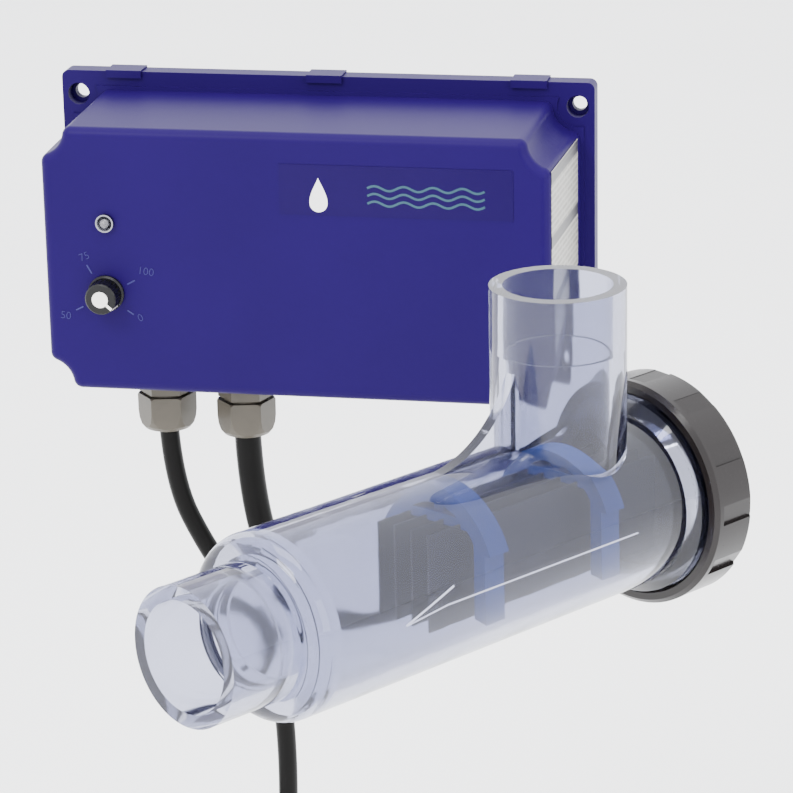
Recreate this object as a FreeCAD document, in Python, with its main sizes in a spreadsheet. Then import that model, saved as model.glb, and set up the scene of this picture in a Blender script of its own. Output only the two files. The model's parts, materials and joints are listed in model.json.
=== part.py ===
import FreeCAD, Part
import math
import os
import Sketcher
from FreeCAD import Vector, Placement, Rotation

# Salt chlorine generator: a wall-hung control unit and a clear flow cell that
# its lead feeds.  Row frame: origin at the centre of the control unit's back
# face, +Z up, -Y out of the wall, +X to the right.  Millimetres.

doc = FreeCAD.newDocument("SaltChlorineGenerator")
sheet = doc.addObject("Spreadsheet::Sheet", "Sizes")

SIZES = [
    # control unit casing
    ("flange_w", 300.0), ("flange_hgt", 170.0), ("flange_front", 13.0), ("flange_t", 4.0),
    ("skirt_t", 2.5), ("skirt_back", 1.2), ("corner_r", 4.0), ("wall_t", 3.0),
    ("dome_front", 100.0), ("base_hw", 142.0), ("base_hh", 74.6), ("face_hw", 138.5), ("face_hh", 73.4),
    ("hole_x", 140.7), ("hole_z", 71.7), ("notch_r", 13.5), ("face_notch_r", 14.6), ("notch_round", 5.0),
    ("face_round", 5.0), ("bead_w", 2.2), ("bead_hgt", 0.9),
    ("fix_hole_r", 4.0), ("cbore_r", 6.15), ("cup_r", 8.4), ("cup_back", 3.0), ("cup_floor", 5.0),
    ("tray_t", 2.5), ("tray_gap", 0.3), ("rim_top", 7.0), ("seal_in", 3.0),
    ("hook_x", 114.0), ("hook_w", 20.0), ("hook_t", 0.8), ("hook_lip", 2.0), ("hook_drop", 3.4),
    ("cov_screw_x", 75.0), ("cov_screw_z", 79.8), ("boss_r", 2.7), ("screw_r", 1.5), ("screw_head_r", 2.6),
    # front face fittings
    ("led_x", -103.4), ("led_z", 21.7), ("led_hole_r", 4.0), ("bezel_r", 4.95), ("bezel_t", 2.6), ("lens_r", 2.5),
    ("knob_x", -104.3), ("knob_z", -17.6), ("knob_r", 10.0), ("knob_top_r", 8.6), ("knob_front", 114.0),
    ("knob_back", 100.8), ("cap_r", 4.4), ("cap_t", 1.6), ("pointer_w", 1.5), ("pointer_deg", -41.0),
    ("shaft_r", 3.0), ("bush_r", 3.5), ("bush_bore", 3.05), ("pot_r", 8.5), ("pot_len", 9.0),
    ("decal_x", -6.5), ("decal_w", 125.6), ("decal_z", 29.8), ("decal_hgt", 27.4), ("film_t", 0.3),
    ("label_z", -42.0), ("label_hgt", 98.0), ("label_y", -96.0), ("label_len", 74.0),
    # cable glands
    ("gland_y", -56.0), ("gland_xl", -85.0), ("gland_xr", -39.6), ("gland_top", -74.3), ("collar_bot", -85.6),
    ("collar_af", 27.0), ("thread_r", 11.2), ("stem_r", 12.1), ("stem_bot", -99.0), ("gnut_af", 28.5),
    ("gnut_top", -87.1), ("gnut_bot", -107.7), ("gnut_bore", 12.5), ("gnut_lip", 10.2), ("gland_drop", 1.5),
    ("mains_r", 5.5), ("lead_r", 7.4), ("seal_wall", 1.9), ("locknut_t", 4.4),
    # inside the control unit
    ("board_x", -62.0), ("board_z", 8.0), ("board_w", 110.0), ("board_hgt", 110.0), ("board_y", -10.0),
    ("board_t", 1.6), ("post_pitch", 98.0), ("toroid_x", 75.0), ("toroid_z", 0.0), ("toroid_r", 48.0),
    ("toroid_hole", 18.0), ("toroid_len", 41.0),
    # flow cell, along its own axis from the side port's axis
    ("cell_x", 180.08), ("cell_y", -347.7), ("cell_z", -43.83), ("cell_yaw", -124.4),
    ("body_r", 42.5), ("bore_r", 37.0), ("body_end", 193.0), ("end_round", 10.4), ("pipe_r", 31.5),
    ("socket_r", 25.2), ("stop_r", 23.5), ("socket_len", 31.0), ("spigot_end", 230.6), ("port_top", 113.0),
    ("collar_r", 47.5), ("collar_s", -46.0), ("open_s", -62.0), ("gusset_t", 5.5),
    ("gusset_h", 79.0), ("gusset_s", 88.0), ("gusset_r", 58.0),
    ("nut_r", 54.5), ("nut_front", -49.0), ("nut_back", -74.0), ("nut_bore", 48.0), ("nut_wall", 4.0),
    ("nut_hole", 40.0), ("grip_depth", 1.3), ("grip_w", 9.6),
    ("head_flange_r", 46.5), ("head_flange_t", 5.9), ("plug_r", 36.6), ("plug_s", -46.0), ("head_boss_r", 30.0),
    ("head_back", -78.0), ("oring_s", -54.0), ("oring_minor", 1.4),
    ("plate_t", 1.0), ("plate_pitch", 10.4), ("plate_hh", 22.5), ("plate_end", 103.0),
    ("comb_r", 36.0), ("comb_in", 28.6), ("comb_w", 12.0), ("comb_front_s", 77.0), ("comb_rear_s", 1.0),
    ("leg_w", 30.5), ("leg_in", 24.0), ("leg_top", 18.0), ("leg_bot", -19.0),
    ("post_r", 3.0), ("post_w", 10.4), ("post_back", -90.0), ("boot_r", 20.0), ("boot_cup_back", -94.0), ("boot_neck_r", 13.2), ("boot_back", -110.0),
    ("outlet_s", -98.0), ("outlet_r", 10.4), ("outlet_len", 34.0), ("outlet_dip", 35.0),
    # mains plug
    ("plug_x", -25.0), ("plug_z", -520.0), ("plug_body_r", 18.8), ("pin_r", 2.4), ("pin_len", 19.0),
    ("pin_pitch", 19.0),
]
for i, (alias, value) in enumerate(SIZES):
    sheet.set("A%d" % (i + 1), alias.replace("_", " "))
    sheet.set("B%d" % (i + 1), repr(value))
    sheet.setAlias("B%d" % (i + 1), alias)
doc.recompute()


class Q:
    """A length from the sheet: its value now and the expression that drives it."""

    def __init__(self, value, text):
        self.value, self.text = float(value), text

    @staticmethod
    def of(other):
        return other if isinstance(other, Q) else Q(other, repr(float(other)))

    def _two(self, other, sign, value):
        other = Q.of(other)
        return Q(value(self.value, other.value), "(%s %s %s)" % (self.text, sign, other.text))

    def __add__(self, o):
        return self._two(o, "+", lambda a, b: a + b)

    def __sub__(self, o):
        return self._two(o, "-", lambda a, b: a - b)

    def __mul__(self, o):
        return self._two(o, "*", lambda a, b: a * b)

    def __truediv__(self, o):
        return self._two(o, "/", lambda a, b: a / b)

    def __rsub__(self, o):
        return Q.of(o) - self

    def __radd__(self, o):
        return Q.of(o) + self

    def __rmul__(self, o):
        return Q.of(o) * self

    def __neg__(self):
        return Q.of(0) - self


def D(alias):
    return Q(float(sheet.get(alias)), "Sizes." + alias)


def drive(obj, prop, q):
    q = Q.of(q)
    obj.setExpression(prop, q.text)


parts = []


def keep(obj, label):
    obj.Label = label
    parts.append(obj)
    return obj


# ---------------------------------------------------------------- sketches
def new_body(name):
    return doc.addObject("PartDesign::Body", name)


def origin(body, role):
    return [f for f in body.Origin.OriginFeatures if f.Role == role][0]


def sketch(body, name, role, offset=None):
    sk = body.newObject("Sketcher::SketchObject", name)
    sk.AttachmentSupport = [(origin(body, role), "")]
    sk.MapMode = "FlatFace"
    if offset is not None:
        q = Q.of(offset)
        sk.AttachmentOffset = Placement(Vector(0, 0, q.value), Rotation())
        drive(sk, "AttachmentOffset.Base.z", q)
    return sk


def pin_point(sk, geo, pos, x, y):
    """Hold one point of the sketch at (x, y) from its origin."""
    for kind, q, axis in (("DistanceX", Q.of(x), -2), ("DistanceY", Q.of(y), -1)):
        if abs(q.value) < 1e-9:
            sk.addConstraint(Sketcher.Constraint("PointOnObject", geo, pos, axis))
        elif q.value > 0:
            n = sk.addConstraint(Sketcher.Constraint(kind, -1, 1, geo, pos, q.value))
            sk.setExpression("Constraints[%d]" % n, q.text)
        else:
            n = sk.addConstraint(Sketcher.Constraint(kind, geo, pos, -1, 1, -q.value))
            sk.setExpression("Constraints[%d]" % n, "-" + q.text)


def polygon(sk, pts):
    pts = [(Q.of(a), Q.of(b)) for a, b in pts]
    n = len(pts)
    first = None
    for i in range(n):
        a, b = pts[i], pts[(i + 1) % n]
        g = sk.addGeometry(Part.LineSegment(Vector(a[0].value, a[1].value, 0), Vector(b[0].value, b[1].value, 0)), False)
        first = g if first is None else first
    for i in range(n):
        sk.addConstraint(Sketcher.Constraint("Coincident", first + i, 2, first + (i + 1) % n, 1))
    for i in range(n):
        pin_point(sk, first + i, 1, pts[i][0], pts[i][1])


def rect(sk, x0, x1, y0, y1):
    polygon(sk, [(x0, y0), (x1, y0), (x1, y1), (x0, y1)])


def circle(sk, x, y, r):
    x, y, r = Q.of(x), Q.of(y), Q.of(r)
    g = sk.addGeometry(Part.Circle(Vector(x.value, y.value, 0), Vector(0, 0, 1), r.value), False)
    pin_point(sk, g, 3, x, y)
    n = sk.addConstraint(Sketcher.Constraint("Radius", g, r.value))
    sk.setExpression("Constraints[%d]" % n, r.text)


def hexagon(sk, x, y, af, turn=0.0):
    """Hexagon of a given across-flats size about (x, y)."""
    x, y, af = Q.of(x), Q.of(y), Q.of(af)
    pts = []
    for k in range(6):
        a = math.radians(60 * k + turn)
        pts.append((x + af * (math.cos(a) / math.sqrt(3)), y + af * (math.sin(a) / math.sqrt(3))))
    polygon(sk, pts)


def ccw_arc(sk, c, r, p, q, via):
    """Arc of a circle drawn anticlockwise; says which of its ends is p."""
    ap, aq, av = (math.atan2(t.y - c.y, t.x - c.x) for t in (p, q, via))
    turn = 2 * math.pi
    forward = (av - ap) % turn < (aq - ap) % turn
    a0, a1 = (ap, aq) if forward else (aq, ap)
    while a1 <= a0:
        a1 += turn
    g = sk.addGeometry(Part.ArcOfCircle(Part.Circle(c, Vector(0, 0, 1), r), a0, a1), False)
    return g, (1 if forward else 2)


def notched(sk, hw, hh, r):
    """Rectangle whose four corners are cut by arcs about the fixing holes."""
    hw, hh, r = Q.of(hw), Q.of(hh), Q.of(r)
    hx, hz = D("hole_x"), D("hole_z")

    def on_side(sx, sz):      # where the arc meets the upright side
        dz = math.sqrt(max(r.value ** 2 - (hx.value - hw.value) ** 2, 0.01))
        return Vector(sx * hw.value, sz * (hz.value - dz), 0)

    def on_top(sx, sz):       # where the arc meets the level side
        dx = math.sqrt(max(r.value ** 2 - (hz.value - hh.value) ** 2, 0.01))
        return Vector(sx * (hx.value - dx), sz * hh.value, 0)

    order = [(1, 1), (-1, 1), (-1, -1), (1, -1)]
    ends = []
    for k, (sx, sz) in enumerate(order):
        a, b = on_side(sx, sz), on_top(sx, sz)
        ends.append((a, b) if k % 2 == 0 else (b, a))
    arcs, lines, firsts = [], [], []
    for k, (sx, sz) in enumerate(order):
        c = Vector(sx * hx.value, sz * hz.value, 0)
        p, q = ends[k]
        mid = (p + q) * 0.5 - c
        mid.normalize()
        g, first = ccw_arc(sk, c, r.value, p, q, c + mid * r.value)
        arcs.append(g)
        firsts.append(first)
        nxt = ends[(k + 1) % 4][0]
        lines.append(sk.addGeometry(Part.LineSegment(q, nxt), False))
    for k in range(4):
        sx, sz = order[k]
        p, q = ends[k]
        arc = arcs[k]
        first = firsts[k]
        sk.addConstraint(Sketcher.Constraint("Coincident", arc, 3 - first, lines[k], 1))
        sk.addConstraint(Sketcher.Constraint("Coincident", lines[k - 1], 2, arc, first))
        pin_point(sk, arc, 3, hx * sx, hz * sz)
        n = sk.addConstraint(Sketcher.Constraint("Radius", arc, r.value))
        sk.setExpression("Constraints[%d]" % n, r.text)
    for k in range(4):
        level = k % 2 == 0
        sk.addConstraint(Sketcher.Constraint("Horizontal" if level else "Vertical", lines[k]))
        if level:
            q = hh if k == 0 else -hh
            kind = "DistanceY"
        else:
            q = -hw if k == 1 else hw
            kind = "DistanceX"
        if q.value > 0:
            n = sk.addConstraint(Sketcher.Constraint(kind, -1, 1, lines[k], 1, q.value))
            sk.setExpression("Constraints[%d]" % n, q.text)
        else:
            n = sk.addConstraint(Sketcher.Constraint(kind, lines[k], 1, -1, 1, -q.value))
            sk.setExpression("Constraints[%d]" % n, "-" + q.text)


def pad(body, sk, length, name, reverse=False, middle=False):
    f = body.newObject("PartDesign::Pad", name)
    f.Profile = sk
    f.Reversed = reverse
    if middle:
        f.Midplane = True
    f.Length = Q.of(length).value
    drive(f, "Length", length)
    sk.Visibility = False
    return f


def pocket(body, sk, length, name, reverse=False, middle=False):
    before = body.Shape.Volume if not body.Shape.isNull() else 0
    f = body.newObject("PartDesign::Pocket", name)
    f.Profile = sk
    f.Reversed = reverse
    if middle:
        f.Midplane = True
    f.Length = Q.of(length).value
    drive(f, "Length", length)
    doc.recompute()
    if not f.Shape.Volume < before - 1e-3:
        raise RuntimeError("nothing cut by " + name)
    return f


def revolve(body, sk, name, axis="X_Axis", cut=False):
    before = body.Shape.Volume if cut else 0
    f = body.newObject("PartDesign::Groove" if cut else "PartDesign::Revolution", name)
    f.Profile = sk
    f.ReferenceAxis = (origin(body, axis), [""])
    f.Angle = 360.0
    doc.recompute()
    if cut and not f.Shape.Volume < before - 1e-3:
        raise RuntimeError("nothing cut by " + name)
    return f


def round_edges(body, feature, name, pick, radius, kind="PartDesign::Fillet"):
    """Fillet or chamfer the edges that pick(edge) accepts."""
    doc.recompute()
    names = ["Edge%d" % (i + 1) for i, e in enumerate(feature.Shape.Edges) if pick(e)]
    if not names:
        raise RuntimeError("no edges for " + name)
    f = body.newObject(kind, name)
    f.Base = (feature, names)
    prop = "Radius" if kind.endswith("Fillet") else "Size"
    setattr(f, prop, Q.of(radius).value)
    drive(f, prop, radius)
    doc.recompute()
    return f


def mid(e):
    a, b = e.ParameterRange
    return e.valueAt((a + b) / 2)


# ------------------------------------------------------------- primitives
def box(name, x0, x1, y0, y1, z0, z1):
    o = doc.addObject("Part::Box", name)
    for prop, lo, hi in (("Length", x0, x1), ("Width", y0, y1), ("Height", z0, z1)):
        drive(o, prop, Q.of(hi) - lo)
    for prop, lo in (("x", x0), ("y", y0), ("z", z0)):
        drive(o, "Placement.Base." + prop, lo)
    return o


def cyl(name, r, length, base, direction):
    o = doc.addObject("Part::Cylinder", name)
    drive(o, "Radius", r)
    drive(o, "Height", length)
    o.Placement = Placement(Vector(0, 0, 0), Rotation(Vector(0, 0, 1), Vector(*direction)))
    for prop, v in zip("xyz", base):
        drive(o, "Placement.Base." + prop, v)
    return o


def cone(name, r1, r2, length, base, direction):
    o = doc.addObject("Part::Cone", name)
    drive(o, "Radius1", r1)
    drive(o, "Radius2", r2)
    drive(o, "Height", length)
    o.Placement = Placement(Vector(0, 0, 0), Rotation(Vector(0, 0, 1), Vector(*direction)))
    for prop, v in zip("xyz", base):
        drive(o, "Placement.Base." + prop, v)
    return o


def hexbar(name, af, length, base, direction, turn=0.0):
    o = doc.addObject("Part::Prism", name)
    o.Polygon = 6
    drive(o, "Circumradius", Q.of(af) / math.sqrt(3))
    drive(o, "Height", length)
    o.Placement = Placement(Vector(0, 0, 0), Rotation(Vector(0, 0, 1), Vector(*direction))
                            * Rotation(Vector(0, 0, 1), turn))
    for prop, v in zip("xyz", base):
        drive(o, "Placement.Base." + prop, v)
    return o


def cut(name, base, tool):
    o = doc.addObject("Part::Cut", name)
    o.Base, o.Tool = base, tool
    return o


def fuse(name, shapes):
    o = doc.addObject("Part::MultiFuse", name)
    o.Shapes = shapes
    return o


def common(name, shapes):
    o = doc.addObject("Part::MultiCommon", name)
    o.Shapes = shapes
    return o


def group(name, shapes):
    o = doc.addObject("Part::Compound", name)
    o.Links = shapes
    return o


CELL = Placement(Vector(D("cell_x").value, D("cell_y").value, D("cell_z").value),
                 Rotation(Vector(0, 0, 1), D("cell_yaw").value))


def in_cell(obj):
    """Put a piece drawn on the cell's own axis into the row frame."""
    obj.Placement = CELL
    for prop in "xyz":
        drive(obj, "Placement.Base." + prop, D("cell_" + prop))
    return obj


OUT = (0, -1, 0)
UP = (0, 0, 1)
DOWN = (0, 0, -1)

# =============================================================== front cover
b = new_body("CoverBody")
sk = sketch(b, "CoverFlange", "XZ_Plane", D("flange_front") - D("flange_t"))
rect(sk, -D("flange_w") / 2, D("flange_w") / 2, -D("flange_hgt") / 2, D("flange_hgt") / 2)
flange = pad(b, sk, D("flange_t"), "CoverFlangePad")
sk = sketch(b, "CoverSkirt", "XZ_Plane", D("skirt_back"))
rect(sk, -D("flange_w") / 2, D("flange_w") / 2, -D("flange_hgt") / 2, D("flange_hgt") / 2)
rect(sk, D("skirt_t") - D("flange_w") / 2, D("flange_w") / 2 - D("skirt_t"),
     D("skirt_t") - D("flange_hgt") / 2, D("flange_hgt") / 2 - D("skirt_t"))
skirt = pad(b, sk, D("flange_front") - D("flange_t") - D("skirt_back"), "CoverSkirtPad")
rounded = round_edges(b, skirt, "CoverCornerRounds",
                      lambda e: abs(abs(mid(e).x) - 150) < 0.01 and abs(abs(mid(e).z) - 85) < 0.01
                      and e.Length > 3, D("corner_r"))
# low bead round the foot of the dome
sk = sketch(b, "CoverBead", "XZ_Plane", D("flange_front"))
notched(sk, D("base_hw") + D("bead_w"), D("base_hh") + D("bead_w"), D("notch_r") - D("bead_w"))
bead = pad(b, sk, D("bead_hgt"), "CoverBeadPad")
# the dome tapers a little from the flange to its face
foot = sketch(b, "DomeFoot", "XZ_Plane", D("flange_front"))
notched(foot, D("base_hw"), D("base_hh"), D("notch_r"))
face = sketch(b, "DomeFace", "XZ_Plane", D("dome_front"))
notched(face, D("face_hw"), D("face_hh"), D("face_notch_r"))
doc.recompute()
dome = b.newObject("PartDesign::AdditiveLoft", "Dome")
dome.Profile = foot
dome.Sections = [face]
dome.Ruled = True
doc.recompute()


def long_notch_edge(e):
    a, c = e.Vertexes[0].Point, e.Vertexes[-1].Point
    return abs(abs(a.y - c.y) - 87) < 1.0 and len(e.Vertexes) == 2


shaped = round_edges(b, dome, "NotchRounds", long_notch_edge, D("notch_round"))
shaped = round_edges(b, shaped, "FaceRound",
                     lambda e: all(abs(v.Point.y + 100) < 0.01 for v in e.Vertexes) and abs(mid(e).y + 100) < 0.01,
                     D("face_round"))
# the hollow behind
foot = sketch(b, "HollowFoot", "XZ_Plane", D("flange_front") - D("flange_t") - 0.01)
notched(foot, D("base_hw") - D("wall_t"), D("base_hh") - D("wall_t"), D("notch_r") + D("wall_t"))
face = sketch(b, "HollowFace", "XZ_Plane", D("dome_front") - D("wall_t"))
notched(face, D("face_hw") - D("wall_t"), D("face_hh") - D("wall_t"), D("face_notch_r") + D("wall_t"))
doc.recompute()
hollow = b.newObject("PartDesign::SubtractiveLoft", "DomeHollow")
hollow.Profile = foot
hollow.Sections = [face]
hollow.Ruled = True
doc.recompute()
# cups that carry the four wall fixings, and the four bosses for the cover screws
sk = sketch(b, "FixingCups", "XZ_Plane", D("cup_back"))
for sx in (1, -1):
    for sz in (1, -1):
        circle(sk, D("hole_x") * sx, D("hole_z") * sz, D("cup_r"))
cups = pad(b, sk, D("flange_front") - D("flange_t") - D("cup_back") + 0.5, "FixingCupPads")
sk = sketch(b, "ScrewBosses", "XZ_Plane", D("tray_t") + 0.1)
for sx in (1, -1):
    for sz in (1, -1):
        circle(sk, D("cov_screw_x") * sx, D("cov_screw_z") * sz, D("boss_r"))
bosses = pad(b, sk, D("flange_front") - D("flange_t") - D("tray_t"), "ScrewBossPads")
doc.recompute()
sk = sketch(b, "CounterBores", "XZ_Plane", D("cup_floor"))
for sx in (1, -1):
    for sz in (1, -1):
        circle(sk, D("hole_x") * sx, D("hole_z") * sz, D("cbore_r"))
pocket(b, sk, 12.0, "CounterBoreCuts", reverse=True)
sk = sketch(b, "FixingHoles", "XZ_Plane", D("cup_back") - 1)
for sx in (1, -1):
    for sz in (1, -1):
        circle(sk, D("hole_x") * sx, D("hole_z") * sz, D("fix_hole_r"))
pocket(b, sk, 6.0, "FixingHoleCuts", reverse=True)
sk = sketch(b, "BossPilots", "XZ_Plane", D("tray_t"))
for sx in (1, -1):
    for sz in (1, -1):
        circle(sk, D("cov_screw_x") * sx, D("cov_screw_z") * sz, D("screw_r"))
pocket(b, sk, 8.0, "BossPilotCuts", reverse=True)
# holes for the lamp and the control shaft, then the two gland holes in the floor
sk = sketch(b, "FaceHoles", "XZ_Plane", D("dome_front") - D("wall_t") - 1)
circle(sk, D("led_x"), D("led_z"), D("led_hole_r"))
circle(sk, D("knob_x"), D("knob_z"), D("bush_r"))
pocket(b, sk, D("wall_t") + 2, "FaceHoleCuts", reverse=True)
sk = sketch(b, "GlandHoles", "XY_Plane", -D("base_hh") - 2)
circle(sk, D("gland_xl"), D("gland_y"), D("thread_r"))
circle(sk, D("gland_xr"), D("gland_y"), D("thread_r"))
pocket(b, sk, 9.0, "GlandHoleCuts", reverse=True)
keep(b, "front_cover")

# ================================================================= back tray
b = new_body("TrayBody")
sk = sketch(b, "TrayFloor", "XZ_Plane")
inner_x = D("flange_w") / 2 - D("skirt_t") - D("tray_gap")
inner_z = D("flange_hgt") / 2 - D("skirt_t") - D("tray_gap")
rect(sk, -inner_x, inner_x, -inner_z, inner_z)
floor_pad = pad(b, sk, D("tray_t"), "TrayFloorPad")
sk = sketch(b, "TrayRim", "XZ_Plane", D("tray_t"))
notched(sk, D("base_hw") + 2.5, D("base_hh") + 2.5, D("notch_r") - 3.5)
notched(sk, D("base_hw") - 0.5, D("base_hh") - 0.5, D("notch_r") - 0.5)
pad(b, sk, D("rim_top") - D("tray_t"), "TrayRimPad")
sk = sketch(b, "BoardPosts", "XZ_Plane", D("tray_t"))
for sx in (1, -1):
    for sz in (1, -1):
        circle(sk, D("board_x") + D("post_pitch") * (sx / 2), D("board_z") + D("post_pitch") * (sz / 2), 4.0)
pad(b, sk, -D("board_y") - D("tray_t"), "BoardPostPads")
sk = sketch(b, "ToroidBoss", "XZ_Plane", D("tray_t"))
circle(sk, D("toroid_x"), D("toroid_z"), 8.0)
pad(b, sk, 3.0, "ToroidBossPad")
# three hooks along the top edge reach over the cover's flange
sk = sketch(b, "HookFeet", "XZ_Plane")
for k in (-1, 0, 1):
    rect(sk, D("hook_x") * k - D("hook_w") / 2, D("hook_x") * k + D("hook_w") / 2,
         inner_z - 1.0, D("flange_hgt") / 2 + D("hook_t") + 0.1)
pad(b, sk, 1.0, "HookFootPads")
sk = sketch(b, "HookArms", "XZ_Plane")
for k in (-1, 0, 1):
    rect(sk, D("hook_x") * k - D("hook_w") / 2, D("hook_x") * k + D("hook_w") / 2,
         D("flange_hgt") / 2 + 0.1, D("flange_hgt") / 2 + D("hook_t") + 0.1)
pad(b, sk, D("flange_front") + D("hook_lip"), "HookArmPads")
sk = sketch(b, "HookLips", "XZ_Plane", D("flange_front") + 0.1)
for k in (-1, 0, 1):
    rect(sk, D("hook_x") * k - D("hook_w") / 2, D("hook_x") * k + D("hook_w") / 2,
         D("flange_hgt") / 2 - D("hook_drop"), D("flange_hgt") / 2 + D("hook_t") + 0.1)
pad(b, sk, D("hook_lip") - 0.1, "HookLipPads")
doc.recompute()
sk = sketch(b, "TrayFixingHoles", "XZ_Plane", -1.0)
for sx in (1, -1):
    for sz in (1, -1):
        circle(sk, D("hole_x") * sx, D("hole_z") * sz, D("fix_hole_r"))
        circle(sk, D("cov_screw_x") * sx, D("cov_screw_z") * sz, D("screw_r") + 0.2)
pocket(b, sk, D("tray_t") + 2, "TrayFixingCuts", reverse=True)
sk = sketch(b, "TrayHeadSinks", "XZ_Plane", -1.0)
for sx in (1, -1):
    for sz in (1, -1):
        circle(sk, D("cov_screw_x") * sx, D("cov_screw_z") * sz, D("screw_head_r") + 0.2)
pocket(b, sk, 2.3, "TrayHeadSinkCuts", reverse=True)
sk = sketch(b, "TrayThreads", "XZ_Plane", D("tray_t") - 1.0)
for sx in (1, -1):
    for sz in (1, -1):
        circle(sk, D("board_x") + D("post_pitch") * (sx / 2), D("board_z") + D("post_pitch") * (sz / 2), D("screw_r"))
circle(sk, D("toroid_x"), D("toroid_z"), 4.0)
pocket(b, sk, 12.0, "TrayThreadCuts", reverse=True)
keep(b, "back_tray")

# seal between the tray's rim and the cover's flange
b = new_body("SealBody")
sk = sketch(b, "SealRing", "XZ_Plane", D("rim_top"))
notched(sk, D("base_hw") + 2.5, D("base_hh") + 2.5, D("notch_r") - 3.5)
notched(sk, D("base_hw") - 0.5, D("base_hh") - 0.5, D("notch_r") - 0.5)
pad(b, sk, D("flange_front") - D("flange_t") - D("rim_top"), "SealPad")
keep(b, "cover_gasket")

# four screws from behind hold the cover on the tray
items = []
for n, (sx, sz) in enumerate([(1, 1), (1, -1), (-1, 1), (-1, -1)]):
    at = (D("cov_screw_x") * sx, -1.2, D("cov_screw_z") * sz)
    items.append(fuse("CoverScrew%d" % n, [
        cyl("CoverScrewHead%d" % n, D("screw_head_r"), 0.9, (D("cov_screw_x") * sx, -0.3, D("cov_screw_z") * sz), OUT),
        cyl("CoverScrewShank%d" % n, D("screw_r"), 7.4, at, OUT)]))
keep(group("CoverScrews", items), "cover_screws")

# ======================================================== lamp on the face
F = -D("dome_front")
head = cyl("BezelHead", D("bezel_r"), D("bezel_t"), (D("led_x"), F, D("led_z")), OUT)
stem = cyl("BezelStem", D("led_hole_r"), 11.0, (D("led_x"), F + 10.9, D("led_z")), OUT)
well = cyl("BezelWell", D("lens_r") + 0.05, 16.0, (D("led_x"), F + 12.0, D("led_z")), OUT)
flare = cone("BezelFlare", D("lens_r") + 0.05, D("bezel_r") - 0.7, 1.7, (D("led_x"), F - D("bezel_t") + 1.6, D("led_z")), OUT)
keep(cut("LedBezel", fuse("BezelSolid", [head, stem]), fuse("BezelHollow", [well, flare])), "led_bezel")
keep(fuse("LedLens", [
    cyl("LensBarrel", D("lens_r"), 12.0, (D("led_x"), F + 9.5, D("led_z")), OUT),
    cone("LensDome", D("lens_r"), D("lens_r") * 0.72, 1.0, (D("led_x"), F - 2.5, D("led_z")), OUT),
    cone("LensTip", D("lens_r") * 0.72, D("lens_r") * 0.3, 0.5, (D("led_x"), F - 3.5, D("led_z")), OUT)]), "led_lens")
keep(cut("LedNut", hexbar("LedNutHex", 11.0, 2.5, (D("led_x"), F + D("wall_t") + 2.6, D("led_z")), OUT),
         cyl("LedNutBore", D("led_hole_r"), 4.0, (D("led_x"), F + D("wall_t") + 3.6, D("led_z")), OUT)), "led_nut")

# =================================================== output control knob
b = new_body("KnobBody")
sk = sketch(b, "KnobProfile", "XY_Plane")
polygon(sk, [(D("shaft_r"), -D("knob_back") - 3.4), (7.4, -D("knob_back") - 3.4), (7.4, -D("knob_back")),
             (D("knob_r"), -D("knob_back")), (D("knob_r"), -D("knob_back") - 1.6),
             (D("knob_top_r") + 0.5, -D("knob_back") - 2.6), (D("knob_top_r"), -D("knob_front") + 0.8),
             (D("knob_top_r") - 0.8, -D("knob_front")), (D("cap_r") + 0.1, -D("knob_front")),
             (D("cap_r") + 0.1, -D("knob_front") + 1.0), (0, -D("knob_front") + 1.0),
             (0, -D("knob_front") + 3.0), (D("shaft_r"), -D("knob_front") + 3.0)])
revolve(b, sk, "KnobTurn", axis="Y_Axis")
sk = sketch(b, "KnobFlute", "XZ_Plane", D("knob_back") + 3.6)
circle(sk, D("knob_top_r") + 0.75, 0, 0.9)
flute = pocket(b, sk, 12.0, "KnobFluteCut", reverse=True)
pat = b.newObject("PartDesign::PolarPattern", "KnobFlutes")
pat.Originals = [flute]
pat.Axis = (origin(b, "Y_Axis"), [""])
pat.Angle = 360.0
pat.Occurrences = 20
b.Tip = pat
doc.recompute()
for prop, q in (("x", D("knob_x")), ("z", D("knob_z"))):
    drive(b, "Placement.Base." + prop, q)
keep(b, "knob_body")

pointer_turn = D("pointer_deg").value
bar = box("PointerBar", 0.0, D("knob_top_r") - 0.4, -D("knob_front") - 0.35, -D("knob_front") + 0.0,
          -D("pointer_w") / 2, D("pointer_w") / 2)
disc = cyl("CapDisc", D("cap_r"), D("cap_t"), (0, -D("knob_front") + 1.0, 0), OUT)
cap = fuse("KnobCap", [disc, bar])
cap.Placement = Placement(Vector(D("knob_x").value, 0, D("knob_z").value), Rotation(Vector(0, 1, 0), -pointer_turn))
keep(cap, "knob_cap")

keep(cyl("ControlShaft", D("shaft_r"), D("knob_front") - 3.0 - 88.0, (D("knob_x"), -88.0, D("knob_z")), OUT), "control_shaft")
pot = fuse("PotSolid", [
    cyl("PotCan", D("pot_r"), D("pot_len"), (D("knob_x"), F + D("wall_t") + D("pot_len") + 0.1, D("knob_z")), OUT),
    cyl("PotBush", D("bush_r"), 7.2, (D("knob_x"), F + D("wall_t") + 0.2, D("knob_z")), OUT)])
keep(cut("Potentiometer", pot, cyl("PotBore", D("bush_bore"), 30.0, (D("knob_x"), -87.9, D("knob_z")), OUT)), "potentiometer")
keep(cut("PotNut", hexbar("PotNutHex", 10.0, 2.2, (D("knob_x"), F, D("knob_z")), OUT),
         cyl("PotNutBore", D("bush_r"), 4.0, (D("knob_x"), F + 1, D("knob_z")), OUT)), "potentiometer_nut")

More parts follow.
